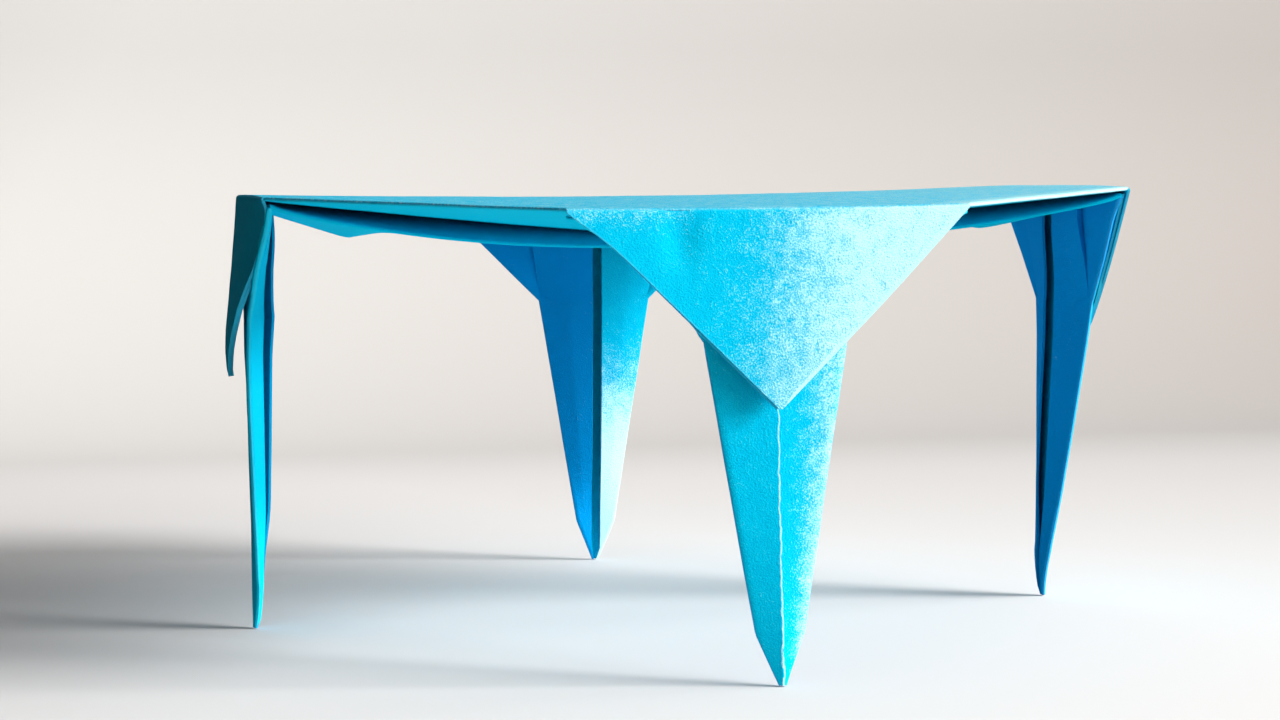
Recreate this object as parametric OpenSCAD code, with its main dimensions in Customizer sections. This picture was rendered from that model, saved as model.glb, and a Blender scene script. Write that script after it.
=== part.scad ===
// Origami table: one uncut square of paper, folded flat into a square with a petal
// in each corner, and then opened out. The octagon in the middle is the top, the four
// corners hang down as flaps, and a petal under each corner is a leg.

/* [Sheet] */
// Side of the square sheet before it is folded
sheet_side = 150; // [100:5:300]
// Thickness of one layer of the paper
paper_t = 0.12; // [0.08:0.01:0.2]
// Air left between two layers that lie on each other
layer_gap = 0.1; // [0.04:0.02:0.2]

/* [Flaps] */
// How far a flap's point stands out from its hinge
flap_stand = 1.4; // [0.6:0.1:3]

/* [Legs] */
// Half the angle that a leg's root takes up, seen from its foot
leg_root_angle = 11; // [10.4:0.1:11.2]
// Angle at which a leg's folded sides run in towards its foot
leg_side_angle = 9.3; // [8.8:0.1:9.8]
// Angle at which each half of a leg falls back from its ridge, at the shoulder
ridge_angle = 17; // [10:1:26]
// Angle at which the turned-in sides stand open inside a leg
side_open_angle = 19; // [12:1:26]
// Width of the groove between the turned-in sides
groove_w = 0.8; // [0.5:0.1:1.4]
// How far each foot stands in from its hinge: front, right, back and left
foot_in = [0, 1.5, 1.5, 0]; // [0:0.1:3]

/* [Underside] */
// How far the middle of the underside hangs below the top
wing_sag = 3.6; // [2.5:0.1:6]
// Width of the slits between the four wings of the underside
wing_slit = 0.6; // [0.4:0.1:1.5]
// Droop of a wing's folded edge, below a straight line
fold_droop = 1.2; // [0.3:0.1:1.6]
// Droop of a wing's raw edge at three places from its hinge inwards
raw_droop = [2.3, 1.4, 1.6]; // [0.4:0.1:2.5]

/* [Hidden] */
paper_colour = [0.01, 0.66, 0.86];

// Corners of the small balls that round every panel's edges
ball_sides = 7;
// Each panel is this much thinner than the one before, so no two faces lie in one plane
skim = 0.0015;
// Places of the raw edge's droops, as shares of its length from the hinge
raw_stations = [0.21, 0.3, 0.56];

// The folds divide the sheet in quarters, and the petal folds halve its corners twice
unit = sheet_side / 4;
petal_angle = 45 / 2;
half_edge = unit * tan(petal_angle);

// A folded pair of layers lies this far from the next pair
pair_pitch = 2 * paper_t + layer_gap;
single_pitch = paper_t + layer_gap;

// Lines of a leg seen from the front, as heights above its foot and half widths; the
// folds at its hinge take up a little of its length
leg_h = unit - pair_pitch - 2 * paper_t;
leg_root_half = leg_h * tan(leg_root_angle);
side_slope = tan(leg_side_angle);
point_slope = tan(petal_angle);
shoulder_h = (leg_root_half - leg_h * side_slope) / (point_slope - side_slope);
gusset_h = leg_h - (half_edge - leg_root_half) / (1 - side_slope);
open_h = (shoulder_h + 2 * gusset_h) / 3;
function leg_half(h) = leg_root_half - (leg_h - h) * side_slope;

// Heights of the folds: the feet stand on z = 0
foot_z = paper_t;
inner_hinge_z = foot_z + leg_h;
outer_hinge_z = inner_hinge_z + pair_pitch;
table_h = outer_hinge_z + paper_t;
top_z = table_h - paper_t / 2;
door_z = top_z - single_pitch;
wing_tip_z = table_h - wing_sag;

// Distances of the folds from the table's axis
top_r = unit - paper_t / 2;
outer_hinge_r = unit - paper_t;
inner_hinge_r = outer_hinge_r - pair_pitch;

// A point at s along an edge, r out from the table's axis and z up
function at(s, r, z) = [s, -r, z];
function between(a, b, share) = a + (b - a) * share;
function lowered(p, drop) = p - [0, 0, drop];
function to_side(points, side) = [for (p = points) [side * p.x, p.y, p.z]];

// A flat piece of the sheet between its corner points, with rounded edges
module panel(points, thick) {
    hull()
        for (p = points)
            translate(p) sphere(d = thick / cos(180 / ball_sides), $fn = ball_sides);
}

// Panels that are the same on both sides of a fold
module panel_pairs(panels, layers) {
    for (i = [0 : len(panels) - 1], side = [0, 1])
        panel(to_side(panels[i], 2 * side - 1), layers * paper_t - (2 * i + side + 1) * skim);
}

module octagon_top() {
    corner_r = top_r / cos(petal_angle);
    corners = [for (i = [0 : 7]) 45 * i + petal_angle];
    panel([for (a = corners) [corner_r * cos(a), corner_r * sin(a), top_z]], paper_t);
}

// The sheet's corner that hangs from the top: an outer pair of layers and an inner
// pair behind it, joined along the middle of the flap
module flap() {
    splay = asin(flap_stand / half_edge);
    down = at(0, sin(splay), -cos(splay));
    inward = at(0, -cos(splay), -sin(splay));
    outer_mid = at(0, outer_hinge_r, outer_hinge_z);
    outer_end = at(half_edge - paper_t, outer_hinge_r, outer_hinge_z);
    outer_point = outer_mid + down * (half_edge - paper_t);
    inner_mid = at(0, inner_hinge_r, inner_hinge_z);
    inner_end = at(half_edge - pair_pitch, inner_hinge_r, inner_hinge_z);
    inner_point = outer_point + inward * pair_pitch - down * pair_pitch;

    panel(concat([outer_end, outer_point], to_side([outer_end], -1)), 2 * paper_t);
    panel(concat([inner_end, inner_point], to_side([inner_end], -1)), 2 * paper_t);
    panel([outer_mid, outer_point, inner_mid, inner_point], paper_t);
}

// The petal: two halves that meet in a ridge on the outside, with their sides turned in
module leg(foot_back) {
    root = at(0, inner_hinge_r, inner_hinge_z);
    root_end = at(half_edge - pair_pitch, inner_hinge_r, inner_hinge_z);
    foot = at(0, outer_hinge_r - foot_back, foot_z);
    // A point of the leg at height h, s to the side and back behind its ridge
    function on_leg(h, s, back) = between(foot, root, h / leg_h) + at(s, -back, 0);
    // The sides fall back most at the shoulder and are level with the ridge at the hinge
    shoulder_back = leg_half(shoulder_h) * tan(ridge_angle);
    function side_back(h) = shoulder_back * (leg_h - h) / (leg_h - shoulder_h);
    function on_side(h) = on_leg(h, leg_half(h), side_back(h));
    // The free edges of the turned-in sides stand open beside the groove
    free_half = groove_w / 2 + paper_t;
    function on_groove(h) =
        on_leg(h, free_half, side_back(h) + (leg_half(h) - free_half) * tan(side_open_angle));

    gusset = on_side(gusset_h);
    shoulder = on_side(shoulder_h);
    groove = on_groove(open_h);
    groove_end = on_groove(shoulder_h);

    panel_pairs([
        [root, gusset, shoulder],
        [root, shoulder, foot],
        [root, root_end, gusset],
        // Turned-in side, from the folded edge to the groove
        [gusset, shoulder, groove],
        [shoulder, groove, groove_end],
        [gusset, groove, root],
    ], 2);
}

// What is folded in under a plain edge of the top: a door, and on each side of it half
// of a kite, which is turned under along the slit and turned back at its folded edge
module wing() {
    edge_end = at(top_r * point_slope, top_r, top_z);
    door_end = at(top_r * point_slope, top_r, door_z);
    kite_end = at(half_edge - pair_pitch, unit - pair_pitch, inner_hinge_z);
    tip = at(0, wing_slit / 2 / sin(45), wing_tip_z);
    along = at(sin(45), cos(45), 0);
    across = at(-cos(45), sin(45), 0);
    hinge_mid = along * inner_hinge_r + across * wing_slit / 2 + [0, 0, inner_hinge_z];
    fold_mid = lowered(between(kite_end, tip, 0.5), fold_droop);
    raw = [for (i = [0 : 2]) lowered(between(hinge_mid, tip, raw_stations[i]), raw_droop[i])];

    panel(concat([edge_end, door_end], to_side([edge_end, door_end], -1)), paper_t - skim / 2);
    panel(concat([door_end, tip], to_side([door_end], -1)), paper_t);
    panel_pairs([
        [door_end, hinge_mid, tip],
        // Upper half of the kite, from the slit out to its folded edge
        [hinge_mid, kite_end, fold_mid],
        [hinge_mid, fold_mid, tip],
        // Lower half, from the folded edge back to the raw edge
        [kite_end, hinge_mid, raw[0]],
        [kite_end, raw[0], raw[1]],
        [kite_end, raw[1], fold_mid],
        [fold_mid, raw[1], raw[2]],
        [fold_mid, raw[2], tip],
    ], 1);
}

module folded_sheet() {
    color(paper_colour) {
        octagon_top();
        for (i = [0 : 3]) {
            rotate(90 * i) {
                flap();
                leg(foot_in[i]);
            }
            rotate(90 * i + 45) wing();
        }
    }
}

folded_sheet();
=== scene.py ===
import math

import bpy
import numpy as np
from mathutils import Matrix, Vector


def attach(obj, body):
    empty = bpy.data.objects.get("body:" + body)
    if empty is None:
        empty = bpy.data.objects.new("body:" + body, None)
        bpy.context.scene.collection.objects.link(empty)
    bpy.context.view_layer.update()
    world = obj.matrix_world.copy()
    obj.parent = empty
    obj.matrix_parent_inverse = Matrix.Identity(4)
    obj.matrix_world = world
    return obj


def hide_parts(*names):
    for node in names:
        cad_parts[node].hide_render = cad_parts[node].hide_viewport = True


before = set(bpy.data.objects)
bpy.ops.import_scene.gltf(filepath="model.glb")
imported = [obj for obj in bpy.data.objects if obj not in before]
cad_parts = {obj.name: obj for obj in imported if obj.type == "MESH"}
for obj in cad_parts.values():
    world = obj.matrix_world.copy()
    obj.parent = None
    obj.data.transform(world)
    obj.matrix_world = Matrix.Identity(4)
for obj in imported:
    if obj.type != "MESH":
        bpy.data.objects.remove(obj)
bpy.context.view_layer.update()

# The top and its flaps: the middle of the sheet lies flat as an octagon, and the four
# corners beyond it are creased over and hang down. Only one quarter is drawn, the front
# corner with the plain edge to its right, because the fold is the same all round.
PAPER = 0.12                    # one layer of the sheet; lengths are in millimetres
UNIT = 37.5                     # a quarter of the sheet's side
PETAL = math.tan(math.radians(22.5))    # the petal folds halve a corner of the sheet twice
HALF_EDGE = UNIT * PETAL        # half of one side of the octagon
TOP_Z = UNIT - PAPER / 2
CREASE_R = 0.3                  # how round the creases over the edges are
FLAP_STAND = 1.4                # how far a flap's point stands out
FLAP_BULGE = 0.25
FLAP_SHORT = 0.25               # the creases take up a little of a flap's length
FLAP_HALF = HALF_EDGE - PAPER / 2
POINT_HALF = PAPER              # a flap's point is as wide as two layers are thick
NO_CREASE = 20.0                # distance written where no crease is near
COLUMNS, TOP_ROWS, HINGE_ROWS, FLAP_ROWS = 33, 15, 7, 33
HINGE_ROW = TOP_ROWS + 3        # the row in the middle of the crease

PART_TOP, PART_FLAP, PART_LEG, PART_WING, PART_LEAF = range(5)
POINT_VALUES = ("layers", "crease", "ridge", "opened", "part")
quarter = {name: [] for name in ("points", "faces") + POINT_VALUES}


def at(s, r, z):
    """Points s along an edge, r out from the table's axis and z up."""
    return np.stack(np.broadcast_arrays(s, -np.asarray(r, float), z), -1).astype(float)


def lay(grid, layers, crease, part, ridge=NO_CREASE, opened=0.0, flip=False):
    """Adds a patch of paper, given as rows of points, to the quarter that is being folded."""
    rows, columns = grid.shape[:2]
    first = len(quarter["points"])
    quarter["points"].extend(grid.reshape(-1, 3))
    for name, value in zip(POINT_VALUES, (layers, crease, ridge, opened, part)):
        quarter[name].extend(np.broadcast_to(np.asarray(value, float), (rows, columns)).ravel())
    for i in range(rows - 1):
        for j in range(columns - 1):
            a = first + i * columns + j
            face = (a, a + 1, a + columns + 1, a + columns)
            quarter["faces"].append(face[::-1] if flip else face)


def smooth(low, high, x):
    """0 below low, 1 above high and an even change between them."""
    t = np.clip((np.asarray(x, float) - low) / (high - low), 0, 1)
    return t * t * (3 - 2 * t)


across = np.linspace(-1, 1, COLUMNS)
splay = math.asin(FLAP_STAND / HALF_EDGE)
top_r = UNIT - CREASE_R - PAPER / 2
sector_r = np.linspace(0, top_r, TOP_ROWS)
hinge_turn = np.linspace(math.pi / 2, splay, HINGE_ROWS + 1)[1:]
hinge_r = top_r + CREASE_R * np.cos(hinge_turn)
hinge_z = TOP_Z - CREASE_R + CREASE_R * np.sin(hinge_turn)
flap_run = HALF_EDGE - FLAP_SHORT
flap_down = np.linspace(0, 1, FLAP_ROWS + 1)[1:]
flap_bow = FLAP_BULGE * np.sin(math.pi * flap_down)
flap_r = hinge_r[-1] + flap_run * flap_down * math.sin(splay) + flap_bow
flap_z = hinge_z[-1] - flap_run * flap_down * math.cos(splay)

path_r = np.concatenate([sector_r, hinge_r, flap_r])
path_z = np.concatenate([np.full(TOP_ROWS, TOP_Z), hinge_z, flap_z])
flap_half = FLAP_HALF * (1 - flap_down) + POINT_HALF * flap_down
half = np.concatenate([sector_r * PETAL, np.full(HINGE_ROWS, FLAP_HALF), flap_half])
along = np.concatenate([[0], np.cumsum(np.hypot(np.diff(path_r), np.diff(path_z)))])
past_hinge = (along - along[HINGE_ROW])[:, None]
on_flap = (np.arange(len(along)) > HINGE_ROW)[:, None]
edge_gap = half[:, None] * (1 - np.abs(across)) * math.sqrt(0.5)
to_hinge = np.abs(past_hinge)
crease = np.where(on_flap, np.minimum(to_hinge, edge_gap), to_hinge)
flap_grid = at(across * half[:, None], path_r[:, None], path_z[:, None])
two_layers = 1 + smooth(-CREASE_R, CREASE_R, past_hinge)
lay(flap_grid, two_layers, crease, np.where(on_flap, PART_FLAP, PART_TOP))

# Behind each flap lies its own folded-back half, another pair of layers that is creased
# to the first along the flap's slanting edges and shows there as a second, lower edge.
LEAF_BACK, LEAF_POINT_OUT = 0.27, 0.1
LEAF_DOWN, LEAF_SHORT = 0.55, 0.35
LEAF_HALF = HALF_EDGE - 0.5
LEAF_SHIFT = -0.24              # its lower part was folded a little askew, so it shows on one side
LEAF_SHIFT_SPAN = (0.5, 0.6)    # the shares of its depth where it goes askew
LEAF_ROWS = 26
leaf_rows = np.linspace(0, 1, LEAF_ROWS)
leaf_half = LEAF_HALF * (1 - leaf_rows) + POINT_HALF * leaf_rows
leaf_shift = LEAF_SHIFT * smooth(*LEAF_SHIFT_SPAN, leaf_rows)[:, None]
leaf_r = UNIT - PAPER - LEAF_BACK + flap_run * leaf_rows * math.sin(splay)
leaf_r = leaf_r + FLAP_BULGE * np.sin(math.pi * leaf_rows) + LEAF_POINT_OUT * leaf_rows
leaf_z = TOP_Z - LEAF_DOWN - (flap_run - LEAF_SHORT) * leaf_rows
leaf_edge = leaf_half[:, None] * (1 - np.abs(across)) * math.sqrt(0.5)
leaf_grid = at(across * leaf_half[:, None] + leaf_shift, leaf_r[:, None], leaf_z[:, None])
lay(leaf_grid, 2, leaf_edge, PART_LEAF)

# The plain edges and the doors: between the flaps the sheet is creased right under, and
# the part below is a door that runs to the middle of the table and hangs there a little.
WING_SAG = 3.3
EDGE_R = 0.1
ROLL_ROWS = 10
ROLL_ROW = TOP_ROWS + 3         # from here the rolled edge belongs to the wing
DOOR_HALF = HALF_EDGE - 0.1
DOOR_WIDEST_R = UNIT * 0.7071   # the door widens this far in, and then narrows to the middle
DOOR_MIDDLE_R = 0.5
DOOR_WIDENS, DOOR_NARROWS, DOOR_SLIT = 0.94, 0.97, 0.3
DOOR_WIDE_ROWS, DOOR_NARROW_ROWS = 9, 19
roll_turn = np.linspace(math.pi / 2, -math.pi / 2, ROLL_ROWS + 1)[1:]
roll_r = top_r + EDGE_R * np.cos(roll_turn)
roll_z = TOP_Z - EDGE_R + EDGE_R * np.sin(roll_turn)
door_z = TOP_Z - 2 * EDGE_R
door_r = np.concatenate([np.linspace(roll_r[-1], DOOR_WIDEST_R, DOOR_WIDE_ROWS + 1)[1:],
                         np.linspace(DOOR_WIDEST_R, DOOR_MIDDLE_R, DOOR_NARROW_ROWS + 1)[1:]])
door_half = np.where(door_r > DOOR_WIDEST_R, DOOR_HALF + (UNIT - door_r) * DOOR_WIDENS,
                     door_r * DOOR_NARROWS - DOOR_SLIT)
wing_r = np.concatenate([sector_r, roll_r, door_r])
wing_half = np.concatenate([sector_r * PETAL, np.full(ROLL_ROWS, DOOR_HALF), door_half])


def sag(s, r):
    """How far the underside hangs at a place, from nothing at the octagon's rim."""
    rim = np.maximum(np.abs(r), (np.abs(s) + np.abs(r)) * math.sqrt(0.5))
    return WING_SAG * (1 - np.clip(rim / UNIT, 0, 1))


wing_s = across * wing_half[:, None]
door_hang = sag(wing_s[TOP_ROWS + ROLL_ROWS:], door_r[:, None])
wing_z = np.concatenate([
    np.full((TOP_ROWS, COLUMNS), TOP_Z),
    np.broadcast_to(roll_z[:, None], (ROLL_ROWS, COLUMNS)),
    door_z - door_hang,
])
wing_path = np.concatenate([sector_r - UNIT, np.abs(roll_turn) * EDGE_R, UNIT - door_r])
wing_grid = at(wing_s, wing_r[:, None], wing_z)
turn = math.radians(45)         # a plain edge lies an eighth of a turn round from a flap
turn_45 = np.array([[math.cos(turn), math.sin(turn), 0], [-math.sin(turn), math.cos(turn), 0], [0, 0, 1]])
wing_part = PART_WING * (np.arange(len(wing_r)) > ROLL_ROW)[:, None]
lay(wing_grid @ turn_45, 1, np.abs(wing_path)[:, None], wing_part)

# The kites: on each side of a door the sheet is turned under and back again, so half a
# kite hangs below it, springing open at its folded edge and showing its raw edge below.
KITE_GAP = 0.35
SLIT_GAP = KITE_GAP * 0.6       # at the slit the kite lies closer to the door
KITE_SLIT = 0.3                 # half of the slit between two wings
KITE_HALF = HALF_EDGE - 0.45
KITE_START, KITE_R = 0.02, UNIT - 0.75    # it starts just off the middle
FOLD_DROOP, FOLD_R = 1.3, 0.1
FOLD_ARCH, UPPER_CURVE, LOWER_CURVE = 0.6, 2, 1.3     # powers that shape the drooping layers
RAW_AT = (0.0, 0.17, 0.44, 0.7, 0.79, 0.92, 1.0)      # places from the middle to the hinge
RAW_DROOP = (1.0, 0.7, 1.4, 1.35, 2.25, 1.25, 0.6)
KITE_ROWS, UPPER_COLUMNS, FOLD_COLUMNS, LOWER_COLUMNS = 56, 12, 3, 14
out = np.linspace(KITE_START, 1, KITE_ROWS)
upper = np.linspace(0, 1, UPPER_COLUMNS)
lower = np.linspace(1, 0, LOWER_COLUMNS)
bend = np.linspace(math.pi / 2, -math.pi / 2, FOLD_COLUMNS + 2)[1:-1]
hang = door_z - WING_SAG * (1 - out)
raw_droop = np.interp(out, RAW_AT, RAW_DROOP)
fold_arch = np.sin(math.pi * out) ** FOLD_ARCH
kite_rows = []
for t, z, raw, arch in zip(out, hang, raw_droop, fold_arch):
    width = t * KITE_HALF
    r = t * KITE_R
    slit_z = z - SLIT_GAP
    fold_z = z - KITE_GAP - FOLD_DROOP * arch
    raw_z = z - KITE_GAP - raw
    top_side = at(upper * width + KITE_SLIT, r, slit_z + (fold_z - slit_z) * upper ** UPPER_CURVE)
    fold_side = at(width + KITE_SLIT + FOLD_R * np.cos(bend), r, fold_z - FOLD_R + FOLD_R * np.sin(bend))
    under_z = raw_z + (fold_z - 2 * FOLD_R - raw_z) * lower ** LOWER_CURVE
    under_side = at(lower * width + KITE_SLIT, r, under_z)
    kite_rows.append(np.concatenate([top_side, fold_side, under_side]))
kite = np.array(kite_rows)
lay(kite, 1, NO_CREASE, PART_WING)
lay(kite * [-1, 1, 1], 1, NO_CREASE, PART_WING, flip=True)

# The legs: each is a petal of the sheet, hung from the hinge behind its flap. Its two
# halves meet in a ridge, and its sides are turned in and stand a little open behind it.
LEG_FOOT_R, LEG_FOOT_Z = UNIT - PAPER, PAPER
LEG_ROOT_R, LEG_ROOT_Z = UNIT - 0.62, UNIT - 0.8
LEG_ROOT_HALF = 7.2
WEB_HALF = HALF_EDGE - 0.3      # above the gusset a web widens the leg to its whole hinge
SIDE_SLOPE = math.tan(math.radians(9.3))
RIDGE_SLOPE = math.tan(math.radians(17))   # at the shoulder; the sides come level at the hinge
OPEN_SLOPE = math.tan(math.radians(19))    # of the turned-in sides
OPEN_SPAN = (-1.0, 7.0)         # they come open between these heights from the shoulder
OPEN_BEND, OPEN_LOSS = 0.6, 0.8    # half way in they have this share, and at the hinge they lose most
POINT_SLOPE = math.tan(math.radians(27))   # the point below the shoulder is pinched
GROOVE_HALF, GROOVE_SHARE = 0.45, 0.9    # the turned-in sides nearly meet in the middle
TIP_HALF = 0.2
SIDE_FOLD_R, SIDE_FOLD_SHARE = 0.16, 0.3    # the folds are tighter near the foot
SIDE_ARC = (-50, 0, 50)
STRIP_STEP, STRIP_STEP_SPAN = 0.65, (0.0, 0.8)    # above the gusset the strips stand off the web
TIP_END, HINGE_GAP = 5.0, 0.02
TIP_ROWS, PETAL_ROWS, WEB_ROWS = 14, 25, 19
FRONT_PLACES = np.array([0.02, 0.06, 0.13, 0.22, 0.33, 0.45, 0.57, 0.69, 0.8, 0.91, 1.0])
INSIDE_COLUMNS = 15
leg_run = LEG_ROOT_Z - LEG_FOOT_Z
gusset_h = leg_run - (WEB_HALF - LEG_ROOT_HALF) / (1 - SIDE_SLOPE)
shoulder_h = (LEG_ROOT_HALF - leg_run * SIDE_SLOPE - TIP_HALF) / (PETAL - SIDE_SLOPE)
shoulder_back = (PETAL * shoulder_h + TIP_HALF) * RIDGE_SLOPE


def leg_profile(h):
    """Half of a leg's section at height h, from its ridge round its side to the inner edge:
    how far to the side, how far back, and how much of that is the turned-in side's opening."""
    narrow = LEG_ROOT_HALF - (leg_run - h) * SIDE_SLOPE
    width = min(narrow, PETAL * h + TIP_HALF)
    above = max(0.0, (h - gusset_h) / (leg_run - gusset_h))
    wide = max(width, WEB_HALF - (leg_run - h))
    fold_r = min(SIDE_FOLD_R, SIDE_FOLD_SHARE * width)
    flat = wide - fold_r
    ridge_slope = min(RIDGE_SLOPE, shoulder_back * (leg_run - h) / (leg_run - shoulder_h) / width)
    ridge_slope = ridge_slope * (1 - above) ** 0.5
    ridge_slope += (POINT_SLOPE - RIDGE_SLOPE) * max(0.0, 1 - h / shoulder_h)
    front_s = flat * FRONT_PLACES
    front = np.stack([front_s, front_s * ridge_slope], -1)
    theta = np.radians(SIDE_ARC)
    middle = flat * ridge_slope + fold_r
    side = np.stack([flat + fold_r * np.cos(theta), middle + fold_r * np.sin(theta)], -1)
    crease_s = flat if above == 0 else narrow - fold_r
    inner_s = min(GROOVE_HALF, GROOVE_SHARE * crease_s)
    lift = (crease_s - inner_s) * OPEN_SLOPE * (1 - OPEN_LOSS * above)
    lift = lift * float(smooth(shoulder_h + OPEN_SPAN[0], shoulder_h + OPEN_SPAN[1], h))
    mid_lift = OPEN_BEND * lift
    step = STRIP_STEP * float(smooth(*STRIP_STEP_SPAN, above))
    start = crease_s * ridge_slope + 2 * fold_r
    mid_s = (crease_s + inner_s) / 2
    bends = np.array([
        (flat, flat * ridge_slope + 2 * fold_r, 0.0),
        (crease_s - 0.6 * step, start, 0.0),
        (crease_s, start + step, 0.0),
        (mid_s, start + step + mid_lift, mid_lift),
        (inner_s, start + step + lift, lift),
    ])
    places = (0, 4, 6, 10, 14)
    if above == 0:
        bends = bends[[0, 3, 4]]
        places = (0, 7, 14)
    columns = np.arange(INSIDE_COLUMNS)
    inside = np.stack([np.interp(columns, places, bends[:, i]) for i in range(3)], -1)
    outside = np.concatenate([front, side])
    return np.concatenate([np.pad(outside, ((0, 0), (0, 1))), inside])


heights = np.concatenate([np.linspace(0, TIP_END, TIP_ROWS),
                          np.linspace(TIP_END, gusset_h, PETAL_ROWS + 1)[1:],
                          np.linspace(gusset_h, leg_run - HINGE_GAP, WEB_ROWS + 1)[1:]])
side_column = len(FRONT_PLACES) + 1    # the middle of the side's fold
leg_rows, ridge_gap, fold_gap, leg_opened = [], [], [], []
for h in heights:
    profile = leg_profile(h)
    part_way = h / leg_run
    r = LEG_FOOT_R + (LEG_ROOT_R - LEG_FOOT_R) * part_way
    z = LEG_FOOT_Z + leg_run * part_way
    right = at(profile[:, 0], r - profile[:, 1], z)
    left = right[::-1] * [-1, 1, 1]
    leg_rows.append(np.concatenate([left, at([0.0], r, z), right]))
    leg_opened.append(np.concatenate([profile[::-1, 2], [0], profile[:, 2]]))
    steps = np.hypot(*np.diff(profile[:, :2], axis=0).T)
    run = profile[0, 0] + np.concatenate([[0], np.cumsum(steps)])
    outside = np.where(np.arange(len(run)) >= side_column, NO_CREASE, run)
    ridge_gap.append(np.concatenate([-outside[::-1], [0], outside]))
    to_fold = np.abs(run - run[side_column])
    fold_gap.append(np.concatenate([to_fold[::-1], [run[side_column]], to_fold]))
lay(np.array(leg_rows), 2, np.array(fold_gap), PART_LEG,
    ridge=np.array(ridge_gap), opened=np.array(leg_opened))

# The whole sheet: the quarter goes round the table's axis, its edges are joined, and the
# paper is left with the slight waviness that folding by hand gives it.
MM = 0.001                      # the quarter is in millimetres, the meshes are in metres
CORNERS = 4
RIPPLE_HEIGHT = 0.16
RIPPLE_SIZE = 11.0
RIPPLE_SEED = 3.7
JOIN_DISTANCE = 0.002
quarter_mesh = bpy.data.meshes.new("quarter_of_sheet")
quarter_mesh.from_pydata([Vector(p) * MM for p in quarter["points"]], [], quarter["faces"])
for name in POINT_VALUES:
    layer = quarter_mesh.attributes.new(name, "FLOAT", "POINT")
    layer.data.foreach_set("value", np.array(quarter[name], dtype=np.float32))
quarter_object = bpy.data.objects.new("quarter_of_sheet", quarter_mesh)
bpy.context.collection.objects.link(quarter_object)

tree = bpy.data.node_groups.new("fold_all_round", "GeometryNodeTree")
tree.is_modifier = True
inputs = {}
for name, kind, value in (
    ("Geometry", "NodeSocketGeometry", None),
    ("Corners", "NodeSocketInt", CORNERS),
    ("Join Distance", "NodeSocketFloat", JOIN_DISTANCE * MM),
    ("Ripple Height", "NodeSocketFloat", RIPPLE_HEIGHT * MM),
    ("Ripple Scale", "NodeSocketFloat", 1 / (RIPPLE_SIZE * MM)),
    ("Ripple Seed", "NodeSocketFloat", RIPPLE_SEED),
    ("Paper", "NodeSocketMaterial", None),
):
    inputs[name] = tree.interface.new_socket(name, in_out="INPUT", socket_type=kind)
    if value is not None:
        inputs[name].default_value = value
tree.interface.new_socket("Geometry", in_out="OUTPUT", socket_type="NodeSocketGeometry")


def add_node(node_tree, kind, sockets=None, **values):
    """Adds a node to a tree, and sets its properties and then its sockets."""
    made = node_tree.nodes.new(kind)
    for key, value in values.items():
        setattr(made, key, value)
    for socket, value in (sockets or {}).items():
        made.inputs[socket].default_value = value
    return made


def link_all(node_tree, pairs):
    """Links each pair of sockets in a tree."""
    for start, end in pairs:
        node_tree.links.new(start, end)


group_in = add_node(tree, "NodeGroupInput")
corner_points = add_node(tree, "GeometryNodePoints")
index = add_node(tree, "GeometryNodeInputIndex")
turn_step = add_node(tree, "ShaderNodeMath", {0: 2 * math.pi}, operation="DIVIDE")
corner_turn = add_node(tree, "ShaderNodeMath", operation="MULTIPLY")
turn_vector = add_node(tree, "ShaderNodeCombineXYZ")
to_rotation = add_node(tree, "FunctionNodeEulerToRotation")
copies = add_node(tree, "GeometryNodeInstanceOnPoints")
corner_name = add_node(tree, "GeometryNodeStoreNamedAttribute", {"Name": "corner"},
                       data_type="INT", domain="INSTANCE")
realize = add_node(tree, "GeometryNodeRealizeInstances")
join_edges = add_node(tree, "GeometryNodeMergeByDistance")
place = add_node(tree, "GeometryNodeInputPosition")
ripple = add_node(tree, "ShaderNodeTexNoise", {"Detail": 1.0}, noise_dimensions="4D")
centre_ripple = add_node(tree, "ShaderNodeVectorMath", {1: (0.5, 0.5, 0.5)}, operation="SUBTRACT")
scale_ripple = add_node(tree, "ShaderNodeVectorMath", operation="SCALE")
wave = add_node(tree, "GeometryNodeSetPosition")
set_paper = add_node(tree, "GeometryNodeSetMaterial")
group_out = add_node(tree, "NodeGroupOutput")
link_all(tree, (
    (group_in.outputs["Corners"], corner_points.inputs["Count"]),
    (group_in.outputs["Corners"], turn_step.inputs[1]),
    (index.outputs[0], corner_turn.inputs[0]),
    (turn_step.outputs[0], corner_turn.inputs[1]),
    (corner_turn.outputs[0], turn_vector.inputs["Z"]),
    (turn_vector.outputs[0], to_rotation.inputs[0]),
    (corner_points.outputs[0], copies.inputs["Points"]),
    (group_in.outputs["Geometry"], copies.inputs["Instance"]),
    (to_rotation.outputs[0], copies.inputs["Rotation"]),
    (copies.outputs[0], corner_name.inputs["Geometry"]),
    (index.outputs[0], corner_name.inputs["Value"]),
    (corner_name.outputs[0], realize.inputs[0]),
    (realize.outputs[0], join_edges.inputs["Geometry"]),
    (group_in.outputs["Join Distance"], join_edges.inputs["Distance"]),
    (place.outputs[0], ripple.inputs["Vector"]),
    (group_in.outputs["Ripple Scale"], ripple.inputs["Scale"]),
    (group_in.outputs["Ripple Seed"], ripple.inputs["W"]),
    (ripple.outputs["Color"], centre_ripple.inputs[0]),
    (centre_ripple.outputs[0], scale_ripple.inputs[0]),
    (group_in.outputs["Ripple Height"], scale_ripple.inputs["Scale"]),
    (join_edges.outputs[0], wave.inputs["Geometry"]),
    (scale_ripple.outputs[0], wave.inputs["Offset"]),
    (wave.outputs[0], set_paper.inputs["Geometry"]),
    (group_in.outputs["Paper"], set_paper.inputs["Material"]),
    (set_paper.outputs[0], group_out.inputs[0]),
))

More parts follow.
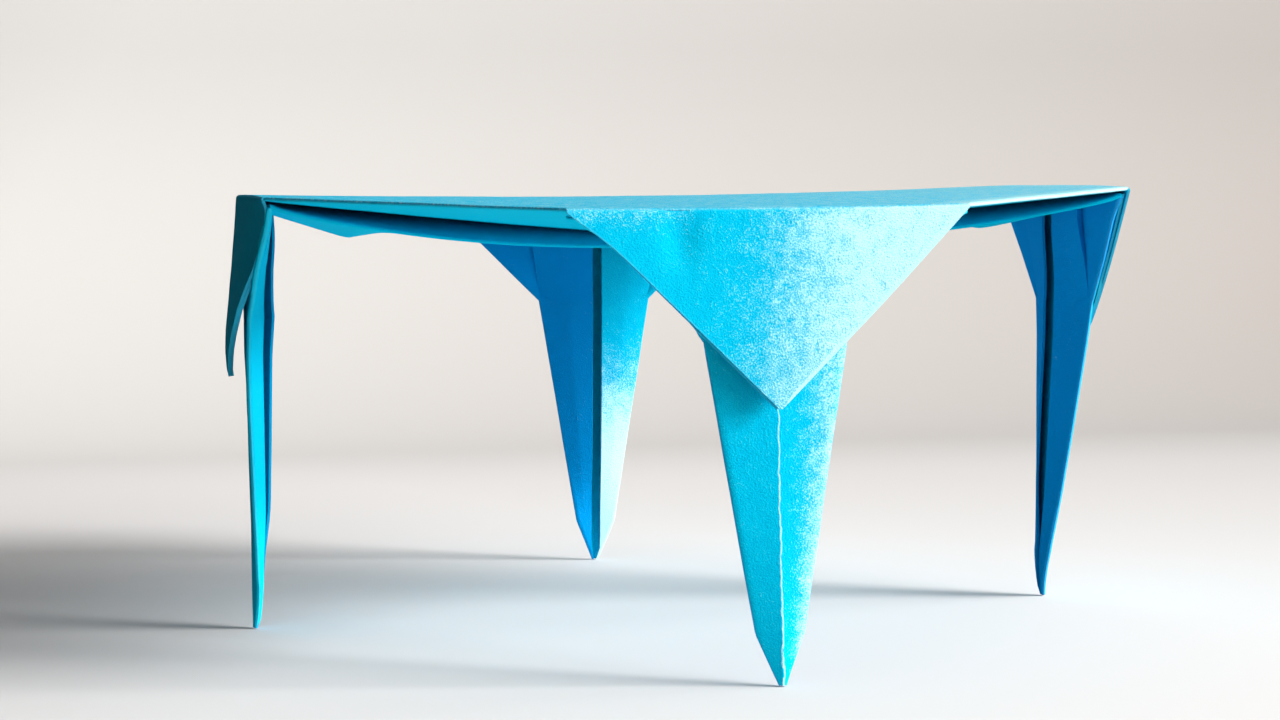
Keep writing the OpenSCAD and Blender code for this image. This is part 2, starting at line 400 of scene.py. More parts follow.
# The paper: coloured through and through, matt and a little fibrous. Creases whiten where the fibres broke,
# and thin layers let some light through.
# Its colour also carries painted light and shade: a pale painted sheen, a brighter painted blue and a darker
# painted blue.
PAPER_BLUE = (0.0006, 0.45, 0.66, 1)
PAPER_DEEP = (0.0004, 0.37, 0.61, 1)
PAPER_PAINTED_BRIGHT = (0.0006, 0.62, 0.90, 1)    # painted light: a brighter blue for the top, the underside and the left leg's near side
PAPER_PAINTED_SHADE = (0.0004, 0.29, 0.70, 1)    # painted shade: a darker blue for the legs' turned-in sides
# painted sheen: this pale colour stands in for highlights where light falls brightly
PAPER_SHEEN = (0.42, 0.75, 0.80, 1)
PAPER_WORN = (0.62, 0.82, 0.86, 1)
FIBRE_SIZE = 0.14
CLOUD_SIZE = 1.1
CLOUD_SHARE = 0.3               # of the clouds in the grain; the rest is fibres
GRAIN_LOW, GRAIN_HIGH = 0.36, 0.64
SHEEN_GRAIN = 3.7                # how much the grain breaks up the painted sheen
SHEEN_LOW, SHEEN_HIGH, SHEEN_MOST = 2.2, 3.5, 0.95
CREASE_WOBBLE, CREASE_LOW, CREASE_HIGH, CREASE_MOST = 0.3, 0.12, 0.3, 0.05
CRACK_WAVES, CRACK_SWAY = 0.9, 0.4    # the crack along a ridge wanders from side to side
CRACK_LOW, CRACK_HIGH, CRACK_MOST = 0.015, 0.07, 0.6
BUMP_STRENGTH, BUMP_HEIGHT = 0.9, 0.12
SHEER_LEAST, SHEER_MOST = 0.012, 0.35
paper = bpy.data.materials.new("blue_folding_paper")
paper.use_nodes = True
paper_tree = paper.node_tree
paper_tree.nodes.clear()


def add_ramp(node_tree, low, high, start=0.0, end=1.0, kind="SMOOTHSTEP"):
    """A node that goes from start to end while its value goes from low to high."""
    sockets = {"From Min": low, "From Max": high, "To Min": start, "To Max": end}
    return add_node(node_tree, "ShaderNodeMapRange", sockets, interpolation_type=kind)


def add_colour_mix(node_tree, **colours):
    """A node that mixes two colours, either of which may be linked later."""
    return add_node(node_tree, "ShaderNodeMix", colours, data_type="RGBA")


def add_value(name):
    """A node that reads one of the sheet's own point values."""
    return add_node(paper_tree, "ShaderNodeAttribute", attribute_name=name)


place_in_sheet = add_node(paper_tree, "ShaderNodeTexCoord")
fibre_sockets = {"Scale": 1 / (FIBRE_SIZE * MM), "Detail": 3.0, "Roughness": 0.6}
fibres = add_node(paper_tree, "ShaderNodeTexNoise", fibre_sockets)
clouds = add_node(paper_tree, "ShaderNodeTexNoise", {"Scale": 1 / (CLOUD_SIZE * MM), "Detail": 3.0})
grain = add_node(paper_tree, "ShaderNodeMix", {0: CLOUD_SHARE}, data_type="FLOAT")
tone = add_ramp(paper_tree, GRAIN_LOW, GRAIN_HIGH, kind="LINEAR")
colour = add_colour_mix(paper_tree, A=PAPER_DEEP, B=PAPER_BLUE)
# painted light: a brighter blue mixed in by one of the sheet's own values
bright_place = add_value("painted_bright")
bright_colour = add_colour_mix(paper_tree, B=PAPER_PAINTED_BRIGHT)
# painted shade: a darker blue mixed in by the sheet's inner values
shade_place = add_value("inner")
shade_colour = add_colour_mix(paper_tree, B=PAPER_PAINTED_SHADE)
# painted sheen: the pale colour mixed in by one of the sheet's own values, broken up by the grain
sheen_place = add_value("painted_sheen")
sheen_grain = add_node(paper_tree, "ShaderNodeMath", {1: SHEEN_GRAIN}, operation="MULTIPLY_ADD")
sheen_amount = add_ramp(paper_tree, SHEEN_LOW, SHEEN_HIGH, end=SHEEN_MOST)
sheen_colour = add_colour_mix(paper_tree, B=PAPER_SHEEN)
crease_place = add_value("crease")
crease_wobble = add_node(paper_tree, "ShaderNodeMath", {1: CREASE_WOBBLE}, operation="MULTIPLY_ADD")
crease_wear = add_ramp(paper_tree, CREASE_LOW, CREASE_HIGH, CREASE_MOST, 0.0)
ridge_place = add_value("ridge")
ridge_wave = add_node(paper_tree, "ShaderNodeTexNoise", {"Scale": CRACK_WAVES / MM, "Detail": 2.0})
ridge_sway = add_node(paper_tree, "ShaderNodeMath", {1: CRACK_SWAY}, operation="MULTIPLY_ADD")
ridge_centre = add_node(paper_tree, "ShaderNodeMath", {1: CRACK_SWAY / 2}, operation="SUBTRACT")
ridge_off = add_node(paper_tree, "ShaderNodeMath", operation="ABSOLUTE")
ridge_wear = add_ramp(paper_tree, CRACK_LOW, CRACK_HIGH, CRACK_MOST, 0.0)
wear = add_node(paper_tree, "ShaderNodeMath", operation="MAXIMUM")
worn_colour = add_colour_mix(paper_tree, B=PAPER_WORN)
fibre_bump = add_node(paper_tree, "ShaderNodeBump", {"Strength": BUMP_STRENGTH, "Distance": BUMP_HEIGHT * MM})
skin = add_node(paper_tree, "ShaderNodeBsdfPrincipled", {"Roughness": 0.9, "Specular IOR Level": 0.01})
glow = add_node(paper_tree, "ShaderNodeBsdfTranslucent")
sheer_place = add_value("sheer")
thinness = add_ramp(paper_tree, 0.0, 1.0, SHEER_LEAST, SHEER_MOST, kind="LINEAR")
through = add_node(paper_tree, "ShaderNodeMixShader")
paper_out = add_node(paper_tree, "ShaderNodeOutputMaterial")
link_all(paper_tree, (
    (place_in_sheet.outputs["Object"], fibres.inputs["Vector"]),
    (place_in_sheet.outputs["Object"], clouds.inputs["Vector"]),
    (place_in_sheet.outputs["Object"], ridge_wave.inputs["Vector"]),
    (fibres.outputs["Fac"], grain.inputs["A"]),
    (clouds.outputs["Fac"], grain.inputs["B"]),
    (grain.outputs["Result"], tone.inputs["Value"]),
    (tone.outputs["Result"], colour.inputs["Factor"]),
    (bright_place.outputs["Fac"], bright_colour.inputs["Factor"]),
    (colour.outputs["Result"], bright_colour.inputs["A"]),
    (shade_place.outputs["Fac"], shade_colour.inputs["Factor"]),
    (bright_colour.outputs["Result"], shade_colour.inputs["A"]),
    (grain.outputs["Result"], sheen_grain.inputs[0]),
    (sheen_place.outputs["Fac"], sheen_grain.inputs[2]),
    (sheen_grain.outputs[0], sheen_amount.inputs["Value"]),
    (sheen_amount.outputs["Result"], sheen_colour.inputs["Factor"]),
    (shade_colour.outputs["Result"], sheen_colour.inputs["A"]),
    (fibres.outputs["Fac"], crease_wobble.inputs[0]),
    (crease_place.outputs["Fac"], crease_wobble.inputs[2]),
    (crease_wobble.outputs[0], crease_wear.inputs["Value"]),
    (ridge_wave.outputs["Fac"], ridge_sway.inputs[0]),
    (ridge_place.outputs["Fac"], ridge_sway.inputs[2]),
    (ridge_sway.outputs[0], ridge_centre.inputs[0]),
    (ridge_centre.outputs[0], ridge_off.inputs[0]),
    (ridge_off.outputs[0], ridge_wear.inputs["Value"]),
    (crease_wear.outputs["Result"], wear.inputs[0]),
    (ridge_wear.outputs["Result"], wear.inputs[1]),
    (wear.outputs[0], worn_colour.inputs["Factor"]),
    (sheen_colour.outputs["Result"], worn_colour.inputs["A"]),
    (worn_colour.outputs["Result"], skin.inputs["Base Color"]),
    (worn_colour.outputs["Result"], glow.inputs["Color"]),
    (grain.outputs["Result"], fibre_bump.inputs["Height"]),
    (fibre_bump.outputs["Normal"], skin.inputs["Normal"]),
    (sheer_place.outputs["Fac"], thinness.inputs["Value"]),
    (thinness.outputs["Result"], through.inputs[0]),
    (skin.outputs[0], through.inputs[1]),
    (glow.outputs[0], through.inputs[2]),
    (through.outputs[0], paper_out.inputs["Surface"]),
))

modifier = quarter_object.modifiers.new("fold_all_round", "NODES")
modifier.node_group = tree
modifier[inputs["Corners"].identifier] = CORNERS
modifier[inputs["Ripple Height"].identifier] = RIPPLE_HEIGHT * MM
modifier[inputs["Paper"].identifier] = paper
folded_view = bpy.context.evaluated_depsgraph_get()
sheet_mesh = bpy.data.meshes.new_from_object(quarter_object.evaluated_get(folded_view),
                                             preserve_all_data_layers=True, depsgraph=folded_view)
sheet_mesh.name = "folded_sheet_paper"
quarter_object.modifiers.remove(modifier)
bpy.data.objects.remove(quarter_object)

# How it was handled: the top is a little twisted, the feet don't stand quite under their
# hinges, the flaps' points curl back, and the front flap has a thumb's dent.
FRONT, RIGHT, BACK, LEFT = range(CORNERS)
TWIST_SIDES, TWIST_TILT, TWIST_LIFT = 0.56, 0.2, 0.1
FOOT_SHIFT = ((0.45, 0.07), (1.02, -1.55), (0.39, -1.9), (-0.36, 0.04))   # of each corner: along, out
LEG_BOW = (0.15, 0.35, 0.15, 0.75)
LEG_BOW_AT, LEG_BOW_SHARE = (0, 0.25, 0.65, 0.85, 1.0), (0.1, 0.35, 1.0, 0.8, 0.0)
LEG_OPEN = ((1.0, 1.0), (0.35, 0.35), (1.0, 1.0), (1.05, 0.5))      # of the two turned-in sides
FLARE_AT = (0, 0.13, 0.27, 0.55, 0.74, 0.95)           # two legs have side edges that bend outwards
NEAR_FLARE = {RIGHT: (0, 0.2, 0.55, 0.95, 1.2, 0), LEFT: (0, 0.35, 0.5, 0.6, 0.5, 0)}
FAR_FLARE = {RIGHT: (0, 0.45, 0.42, 0.3, 0.2, 0), LEFT: (0, 0, 0, 0, 0, 0)}
WEB_IN = 0.5                    # the front leg's webs are tucked in behind the flap
WEB_SIDE, WEB_HEIGHT = (5.2, 7), (26.2, 28.5)
GROOVE_SPREAD = 0.75            # the right leg's groove is wider than the others
GROOVE_SIDE, GROOVE_HEIGHT = (2.2, 0.4), (4, 12)
FOOT_SWEEP = 1.2                # a leg leans a little more towards its foot
POINT_CURL, CURL_SPAN = (0.1, 0.3, 0.4, 0.0), (0.7, 1.0)
LEFT_BOW_AT = (0, 0.2, 0.41, 0.58, 0.75, 0.86, 0.96, 1.0)
LEFT_BOW = (0, 0, 0.1, 0.3, 0.6, 0.68, 0.6, 0.45)
LEFT_BEND_AT = (0, 0.06, 0.2, 0.37, 0.5, 0.6)
LEFT_BEND, LEFT_BEND_SIZE = (0, 0.55, 0.75, 0.55, 0.2, 0), 5.0
DENT_PLACE, DENT_WIDE, DENT_HIGH, DENT_DEPTH = (-7.6, 35.2), 1.0, 2.2, 0.32
EAR_PLACE = (-HALF_EDGE, -UNIT, UNIT)    # the front flap's left corner is pulled out
EAR_SIZE, EAR_OUT = 2.6, 0.8
RIDGE_REACH = 8.0               # paper further than this from a leg's ridge is its webs and turned-in sides

count = len(sheet_mesh.vertices)
xyz = np.empty(count * 3)
sheet_mesh.vertices.foreach_get("co", xyz)
xyz = xyz.reshape(-1, 3) / MM


def read_layer(name):
    """One of the sheet's own point values."""
    values = np.empty(count, dtype=np.float32)
    sheet_mesh.attributes[name].data.foreach_get("value", values)
    return values


part = np.rint(read_layer("part")).astype(int)
corner_values = np.empty(count, dtype=np.int32)
sheet_mesh.attributes["corner"].data.foreach_get("value", corner_values)
opened = read_layer("opened")
ridge_values = read_layer("ridge")
turned_in = (part == PART_LEG) & (np.abs(ridge_values) > RIDGE_REACH)
height = xyz[:, 2].copy()
for corner in range(CORNERS):
    angle = 2 * math.pi * corner / CORNERS
    side_way = np.array([math.cos(angle), math.sin(angle), 0])
    out_way = np.array([math.sin(angle), -math.cos(angle), 0])
    leg = (corner_values == corner) & (part == PART_LEG)
    side = xyz[leg] @ side_way
    side_sign = np.sign(side)[:, None]
    from_ridge = np.abs(side)
    rise = height[leg] / LEG_ROOT_Z
    bow = LEG_BOW[corner] * np.interp(rise, LEG_BOW_AT, LEG_BOW_SHARE)
    bow += opened[leg] * (1 - np.where(side < 0, LEG_OPEN[corner][0], LEG_OPEN[corner][1]))
    if corner in NEAR_FLARE:
        side_half = LEG_ROOT_HALF - (LEG_ROOT_Z - height[leg]) * SIDE_SLOPE
        half_leg = np.minimum(side_half, PETAL * height[leg] + TIP_HALF)
        near_flare = np.interp(rise, FLARE_AT, NEAR_FLARE[corner])
        far_flare = np.interp(rise, FLARE_AT, FAR_FLARE[corner])
        bow += np.where(xyz[leg, 1] < 0, near_flare, far_flare) * (from_ridge / half_leg).clip(0, 1)
    xyz[leg] += bow[:, None] * out_way
    if corner == FRONT:
        tuck = WEB_IN * smooth(*WEB_SIDE, from_ridge) * smooth(*WEB_HEIGHT, height[leg])
        xyz[leg] -= side_sign * tuck[:, None] * side_way
    if corner == RIGHT:
        spread = GROOVE_SPREAD * smooth(*GROOVE_SIDE, from_ridge) * smooth(*GROOVE_HEIGHT, height[leg])
        spread = spread * turned_in[leg]
        xyz[leg] += side_sign * spread[:, None] * side_way
    low = (1 - rise).clip(0, 1)[:, None] ** FOOT_SWEEP
    xyz[leg] += low * (FOOT_SHIFT[corner][0] * side_way + FOOT_SHIFT[corner][1] * out_way)
    flap = (corner_values == corner) & ((part == PART_FLAP) | (part == PART_LEAF))
    depth = (TOP_Z - height[flap]) / HALF_EDGE
    bow = -POINT_CURL[corner] * smooth(*CURL_SPAN, depth)
    if corner == LEFT:
        from_edge = HALF_EDGE * (1 - depth) - xyz[flap] @ side_way
        bow += np.interp(depth, LEFT_BOW_AT, LEFT_BOW)
        bow -= np.interp(depth, LEFT_BEND_AT, LEFT_BEND) * np.exp(-(from_edge / LEFT_BEND_SIZE) ** 2)
    xyz[flap] += bow[:, None] * out_way
front = (corner_values == FRONT) & (part == PART_FLAP)
dent_gap = np.hypot((xyz[front, 0] - DENT_PLACE[0]) / DENT_WIDE, (xyz[front, 2] - DENT_PLACE[1]) / DENT_HIGH)
xyz[front, 1] += DENT_DEPTH * np.exp(-dent_gap ** 2)
ear_gap = np.linalg.norm(xyz - EAR_PLACE, axis=1) / EAR_SIZE
pulled = (part != PART_LEAF) & (part != PART_LEG)
xyz[:, 0] -= EAR_OUT * np.exp(-ear_gap ** 2) * pulled
flat_x, flat_y = xyz[:, 0] / UNIT, xyz[:, 1] / UNIT
twist = TWIST_SIDES * (flat_x ** 2 - flat_y ** 2) + TWIST_TILT * flat_x + TWIST_LIFT
xyz[:, 2] += twist * (height / UNIT).clip(0, 1)
sheet_mesh.vertices.foreach_set("co", (xyz * MM).ravel())

# Painted light and shade: a pale painted sheen and painted highlights where light falls brightest, on the
# front flap and leg to their right, the top and the back leg's lit half;
# a brighter painted blue on the top, the underside and the left leg's near side, and a darker painted blue
# for the shade in the legs' turned-in sides.
# painted sheen on the front flap, growing towards its right, where the light falls
FLAP_SHEEN, FLAP_SPAN, FLAP_SLANT = 1.5, (-7.5, 10.5), 2.5
HINGE_PALER = 0.5              # a paler band along the front flap's hinge, on its left
HINGE_DEPTH, HINGE_SIDE = (0.18, 0.02), (-4, -9)
RIM_HIGHLIGHT, RIM_WIDTH = 2.6, 0.22    # a painted highlight along the front flap's right edge
RIM_FROM_POINT, RIM_FROM_TOP = 0.5, 1.0
# painted sheen on the front leg's right half, which faces the light
LEG_SHEEN, LEG_FADE = 1.15, 1.3
BACK_SHEEN, BACK_SPAN = 1.8, (27, 9)    # a painted sheen on the lit half of the back leg, inside
# painted sheen and a brighter painted blue on the top, where the light grazes it
TOP_SHEEN, TOP_BRIGHT = 0.85, 0.7
TOP_SHEEN_RIGHT, TOP_BRIGHT_RIGHT = 0.3, 0.4    # and this share more at its right end
LEFT_BRIGHT, LEFT_SHADE = 0.5, 0.5    # the left leg's far side, in shade, gets half of each; its near side, lit from the front, gets all the brighter painted blue
EDGE_HIGHLIGHT, EDGE_WIDTH, EDGE_HIGH = 1.6, 0.4, 0.6    # a painted highlight along the plain edge on the right
UNDERSIDE_SHEER = 0.2           # light comes through the single layers, most through the top
painted_sheen = np.zeros(count)
# painted sheen on the front flap, growing towards its right, and a paler band along its hinge
flap_low = (TOP_Z - height[front]) / HALF_EDGE
painted_sheen[front] = FLAP_SHEEN * smooth(*FLAP_SPAN, xyz[front, 0] + FLAP_SLANT * flap_low)
painted_sheen[front] += HINGE_PALER * smooth(*HINGE_DEPTH, flap_low) * smooth(*HINGE_SIDE, xyz[front, 0])
# painted highlight along the front flap's right edge
rim = front & (xyz[:, 0] > RIM_FROM_POINT) & (height < TOP_Z - RIM_FROM_TOP)
rim &= read_layer("crease") < RIM_WIDTH
painted_sheen[rim] = RIM_HIGHLIGHT
# painted sheen on the front leg's right half
front_leg = (corner_values == FRONT) & (part == PART_LEG) & ~turned_in
leg_half = LEG_ROOT_HALF - (LEG_ROOT_Z - height[front_leg]) * SIDE_SLOPE
painted_sheen[front_leg] = LEG_SHEEN * (ridge_values[front_leg] / leg_half).clip(0, 1) ** LEG_FADE
back_leg = (corner_values == BACK) & turned_in & (ridge_values < 0)
# painted sheen on the back leg's lit half
painted_sheen[back_leg] = BACK_SHEEN * smooth(*BACK_SPAN, height[back_leg])
top = part == PART_TOP
# painted sheen on the top, more towards its right, where the light comes from
painted_sheen[top] = TOP_SHEEN * (1 + TOP_SHEEN_RIGHT * flat_x[top])
# painted highlight along the plain edge on the right
right_edge = (flat_x - flat_y) * math.sqrt(0.5) > 1 - EDGE_WIDTH / UNIT
right_edge &= (height > UNIT - EDGE_HIGH) & (part != PART_FLAP)
painted_sheen[right_edge] = EDGE_HIGHLIGHT
sheer = np.where(top, 1.0, np.where(part == PART_WING, UNDERSIDE_SHEER, 0.0))
# painted light: a brighter blue on the top, growing towards its right, and on the underside's wings, standing
# in for the light they catch
painted_bright = np.where(top, TOP_BRIGHT * (1 + TOP_BRIGHT_RIGHT * flat_x), 0.0)
painted_bright[part == PART_WING] = 1.0
# painted shade: a darker blue on the legs' turned-in sides, but not on the back leg's lit half
inner = turned_in.astype(float)
inner[back_leg] = 0.0
# painted light on the left leg's near side, and half painted shade on its far side
left_leg = (corner_values == LEFT) & turned_in
left_near = left_leg & (xyz[:, 1] < 0)
painted_bright[left_leg] = LEFT_BRIGHT
painted_bright[left_near] = 1.0
inner[left_leg] = LEFT_SHADE
inner[left_near] = 0.0
for name, values in (("painted_sheen", painted_sheen), ("sheer", sheer), ("painted_bright", painted_bright), ("inner", inner)):
    layer = sheet_mesh.attributes.new(name, "FLOAT", "POINT")
    layer.data.foreach_set("value", values.astype(np.float32))
sheet_mesh.update()

# The thickness of the paper: each patch is as thick as the layers that lie together in it,
# and its two faces and its edges close round it.
SHARP_ANGLE = math.radians(38)    # creases that turn more than this look sharp
sheet = bpy.data.objects.new("folded_sheet_paper", sheet_mesh)
bpy.context.collection.objects.link(sheet)
thickness = sheet.vertex_groups.new(name="layers")
for vertex, layers in enumerate(read_layer("layers")):
    thickness.add([vertex], float(layers) / 2, "REPLACE")
solid = sheet.modifiers.new("paper_thickness", "SOLIDIFY")
solid.thickness = 2 * PAPER * MM
solid.offset = 0
solid.vertex_group = "layers"
solid.use_even_offset = False
solid_view = bpy.context.evaluated_depsgraph_get()
solid_mesh = bpy.data.meshes.new_from_object(sheet.evaluated_get(solid_view),
                                             preserve_all_data_layers=True, depsgraph=solid_view)
sheet.modifiers.remove(solid)
sheet.data = solid_mesh
shell = np.empty(len(solid_mesh.vertices) * 3)
solid_mesh.vertices.foreach_get("co", shell)
from_axis = np.hypot(*shell.reshape(-1, 3)[:2 * count, :2].T)
first_is_inner = from_axis[:count] < from_axis[count:]
is_inner = np.concatenate([first_is_inner, ~first_is_inner])
shell_ridge = np.where(is_inner, NO_CREASE, np.tile(ridge_values, 2))    # only the outside cracks
solid_mesh.attributes["ridge"].data.foreach_set("value", shell_ridge.astype(np.float32))
solid_mesh.shade_smooth()
solid_mesh.set_sharp_from_angle(angle=SHARP_ANGLE)
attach(sheet, "root")
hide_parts("folded_sheet")

# The floor and the backdrop: a white table that runs back a little way and then rises
# into a plain warm-grey background, which is clear when it is seen from behind.
FLOOR_FRONT, FLOOR_NEAR, FLOOR_END, FLOOR_RISE, BACK_TOP = -900.0, -300.0, 150.0, 60.0, 900.0
STAGE_SIDE = 1500.0
# the darker far-floor and right-wall colours are painted shade
SEEN_FLOOR, SEEN_FLOOR_FAR = (0.615, 0.615, 0.625, 1), (0.25, 0.25, 0.25, 1)
SEEN_WALL_LEFT, SEEN_WALL_RIGHT = (0.525, 0.52, 0.515, 1), (0.275, 0.255, 0.245, 1)
THROWN_LEFT, THROWN_UNDER = (0.08, 0.08, 0.08, 1), (0.85, 0.85, 0.85, 1)    # what it throws on the paper
THROWN_RIGHT, THROWN_WALL = (0.35, 0.35, 0.35, 1), (0.22, 0.20, 0.19, 1)
FAR_SLANT, WALL_SLANT = 0.5, -0.6    # painted shade: the floor darkens to the back right and the wall to the low right, where the windows light them most
WALL_FROM, WALL_SPAN, FAR_SPAN = (0.10, 0.20), (-0.08, 0.16), (0.04, 0.34)    # spans in metres
LEFT_SPAN, RIGHT_SPAN = (-0.08, -0.03), (0.0, 0.025)
rise = np.radians(np.linspace(0, 90, 13))[1:]
floor_y = np.linspace(FLOOR_NEAR, FLOOR_END, 10)
wall_y = FLOOR_END + FLOOR_RISE
sweep_y = np.concatenate([[FLOOR_FRONT], floor_y, FLOOR_END + FLOOR_RISE * np.sin(rise), [wall_y]])
sweep_z = np.concatenate([np.zeros(1 + len(floor_y)), FLOOR_RISE * (1 - np.cos(rise)), [BACK_TOP]])
sweep_points = [(x * MM, y * MM, z * MM) for y, z in zip(sweep_y, sweep_z) for x in (-STAGE_SIDE, STAGE_SIDE)]
sweep_faces = [(2 * i, 2 * i + 1, 2 * i + 3, 2 * i + 2) for i in range(len(sweep_y) - 1)]
sweep_mesh = bpy.data.meshes.new("floor_and_backdrop")
sweep_mesh.from_pydata(sweep_points, [], sweep_faces)
sweep_mesh.shade_smooth()
sweep = bpy.data.objects.new("floor_and_backdrop", sweep_mesh)
bpy.context.collection.objects.link(sweep)

stage_paint = bpy.data.materials.new("pale_stage")
stage_paint.use_nodes = True
stage_tree = stage_paint.node_tree
stage_skin = stage_tree.nodes["Principled BSDF"]
stage_skin.inputs["Roughness"].default_value = 0.6
stage_skin.inputs["Specular IOR Level"].default_value = 0.0
stage_place = add_node(stage_tree, "ShaderNodeTexCoord")
stage_split = add_node(stage_tree, "ShaderNodeSeparateXYZ")
stage_back = add_ramp(stage_tree, *WALL_FROM)
# painted shade on the wall, darker towards the low right
stage_slant = add_node(stage_tree, "ShaderNodeMath", {1: WALL_SLANT}, operation="MULTIPLY_ADD")
stage_side = add_ramp(stage_tree, *WALL_SPAN, kind="LINEAR")
stage_wall = add_colour_mix(stage_tree, A=SEEN_WALL_LEFT, B=SEEN_WALL_RIGHT)
# painted shade on the floor, darker towards the back right
stage_toward = add_node(stage_tree, "ShaderNodeMath", {1: FAR_SLANT}, operation="MULTIPLY_ADD")
stage_far = add_ramp(stage_tree, *FAR_SPAN, kind="LINEAR")
stage_near = add_colour_mix(stage_tree, A=SEEN_FLOOR, B=SEEN_FLOOR_FAR)
stage_seen = add_colour_mix(stage_tree)
stage_left = add_ramp(stage_tree, *LEFT_SPAN)
stage_under = add_colour_mix(stage_tree, A=THROWN_LEFT, B=THROWN_UNDER)
stage_right = add_ramp(stage_tree, *RIGHT_SPAN)
stage_floor = add_colour_mix(stage_tree, B=THROWN_RIGHT)
stage_thrown = add_colour_mix(stage_tree, B=THROWN_WALL)
stage_ray = add_node(stage_tree, "ShaderNodeLightPath")
stage_choice = add_colour_mix(stage_tree)
stage_face = add_node(stage_tree, "ShaderNodeNewGeometry")
stage_clear = add_node(stage_tree, "ShaderNodeBsdfTransparent")
stage_open = add_node(stage_tree, "ShaderNodeMixShader")
link_all(stage_tree, (
    (stage_place.outputs["Object"], stage_split.inputs[0]),
    (stage_split.outputs["Y"], stage_back.inputs["Value"]),
    (stage_split.outputs["Z"], stage_slant.inputs[0]),
    (stage_split.outputs["X"], stage_slant.inputs[2]),
    (stage_slant.outputs[0], stage_side.inputs["Value"]),
    (stage_side.outputs["Result"], stage_wall.inputs["Factor"]),
    (stage_split.outputs["Y"], stage_toward.inputs[0]),
    (stage_split.outputs["X"], stage_toward.inputs[2]),
    (stage_toward.outputs[0], stage_far.inputs["Value"]),
    (stage_far.outputs["Result"], stage_near.inputs["Factor"]),
    (stage_back.outputs["Result"], stage_seen.inputs["Factor"]),
    (stage_near.outputs["Result"], stage_seen.inputs["A"]),
    (stage_wall.outputs["Result"], stage_seen.inputs["B"]),
    (stage_split.outputs["X"], stage_left.inputs["Value"]),
    (stage_left.outputs["Result"], stage_under.inputs["Factor"]),
    (stage_split.outputs["X"], stage_right.inputs["Value"]),
    (stage_right.outputs["Result"], stage_floor.inputs["Factor"]),
    (stage_under.outputs["Result"], stage_floor.inputs["A"]),
    (stage_back.outputs["Result"], stage_thrown.inputs["Factor"]),
    (stage_floor.outputs["Result"], stage_thrown.inputs["A"]),
    (stage_ray.outputs["Is Camera Ray"], stage_choice.inputs["Factor"]),
    (stage_thrown.outputs["Result"], stage_choice.inputs["A"]),
    (stage_seen.outputs["Result"], stage_choice.inputs["B"]),
    (stage_choice.outputs["Result"], stage_skin.inputs["Base Color"]),
    (stage_face.outputs["Backfacing"], stage_open.inputs["Fac"]),
    (stage_skin.outputs["BSDF"], stage_open.inputs[1]),
    (stage_clear.outputs["BSDF"], stage_open.inputs[2]),
    (stage_open.outputs["Shader"], stage_tree.nodes["Material Output"].inputs["Surface"]),
))
sweep_mesh.materials.append(stage_paint)

# The light: a long window low on the right with its brightest part a little to the front,
# a soft panel beside the camera, a weak one overhead, and a little pale air all round.
LOOK_AT = Vector((0, 0, 0.02))
WARM, WARM_WHITE, WHITE, COOL = (1.0, 0.97, 0.93), (1.0, 0.98, 0.95), (1.0, 1.0, 1.0), (0.92, 0.97, 1.0)
AIR_COLOUR, AIR_STRENGTH = (0.90, 0.95, 1.0, 1), 0.035


def add_light(name, azimuth, elevation, distance, wide, high, power, tint):
    """An area light that faces the table: azimuth goes from the right towards the front."""
    turned, raised = math.radians(azimuth), math.radians(elevation)
    level = math.cos(raised)
    toward = Vector((level * math.cos(turned), -level * math.sin(turned), math.sin(raised)))
    data = bpy.data.lights.new(name, "AREA")
    data.shape = "RECTANGLE"
    data.size, data.size_y = wide, high
    data.energy = power
    data.color = tint
    light = bpy.data.objects.new(name, data)
    light.location = LOOK_AT + toward * distance
    light.rotation_euler = (-toward).to_track_quat("-Z", "Y").to_euler()
    bpy.context.collection.objects.link(light)


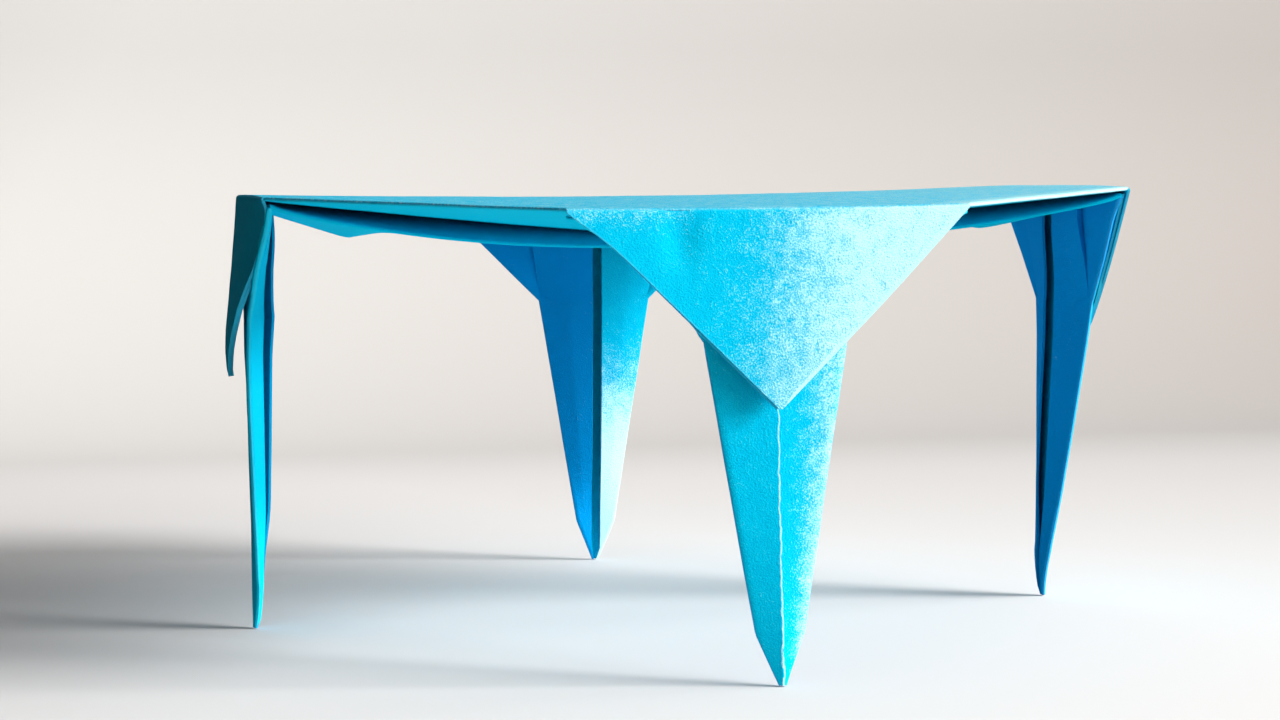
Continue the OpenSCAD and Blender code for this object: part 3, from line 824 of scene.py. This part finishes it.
# Angles in degrees, then distance, width and height in metres, and power in watts
add_light("window", 24, 27, 1.5, 0.5, 0.3, 28.5, WARM)
add_light("long_window", 8, 26, 1.5, 2.8, 0.25, 53.0, WARM)
add_light("low_window", 24, 11, 1.5, 0.6, 0.16, 16.0, WARM_WHITE)
add_light("front_panel", 80, 14, 0.87, 0.5, 0.4, 0.6, WHITE)
add_light("top_panel", 0, 80, 0.9, 0.6, 0.6, 0.8, COOL)
world = bpy.data.worlds.new("pale_air")
world.use_nodes = True
world.node_tree.nodes["Background"].inputs["Color"].default_value = AIR_COLOUR
world.node_tree.nodes["Background"].inputs["Strength"].default_value = AIR_STRENGTH
bpy.context.scene.world = world

# The camera stands a little left of the front corner, just above the height of the top, and
# looks down by 4 degrees. Its shift brings the table to its place in the picture.
AZIMUTH, ELEVATION, ROLL = math.radians(-12.462), math.radians(3.976), math.radians(-0.314)
DISTANCE = 6.591 * UNIT
LOOK_HEIGHT = 0.6 * UNIT
FOCAL_PIXELS, IMAGE_WIDTH, SENSOR_WIDTH = 2748.25, 1280.0, 36.0
CENTRE_RIGHT, CENTRE_DOWN = 31.43, 4.22    # pixels from the picture's middle to what it looks at
back = Vector((math.sin(AZIMUTH) * math.cos(ELEVATION), -math.cos(AZIMUTH) * math.cos(ELEVATION),
               math.sin(ELEVATION)))
level_right = Vector((math.cos(AZIMUTH), math.sin(AZIMUTH), 0))
level_up = level_right.cross(-back)
right = math.cos(ROLL) * level_right + math.sin(ROLL) * level_up
up = -math.sin(ROLL) * level_right + math.cos(ROLL) * level_up
eye = (Vector((0, 0, LOOK_HEIGHT)) + back * DISTANCE) * MM
camera_data = bpy.data.cameras.new("camera")
camera_data.sensor_width = SENSOR_WIDTH
camera_data.lens = FOCAL_PIXELS / IMAGE_WIDTH * SENSOR_WIDTH
camera_data.shift_x = -CENTRE_RIGHT / IMAGE_WIDTH
camera_data.shift_y = CENTRE_DOWN / IMAGE_WIDTH
camera_data.clip_start = 0.01
camera = bpy.data.objects.new("camera", camera_data)
camera.matrix_world = Matrix(((right.x, up.x, back.x, eye.x), (right.y, up.y, back.y, eye.y),
                              (right.z, up.z, back.z, eye.z), (0, 0, 0, 1)))
bpy.context.collection.objects.link(camera)
bpy.context.scene.camera = camera
bpy.context.scene.view_settings.view_transform = "Standard"
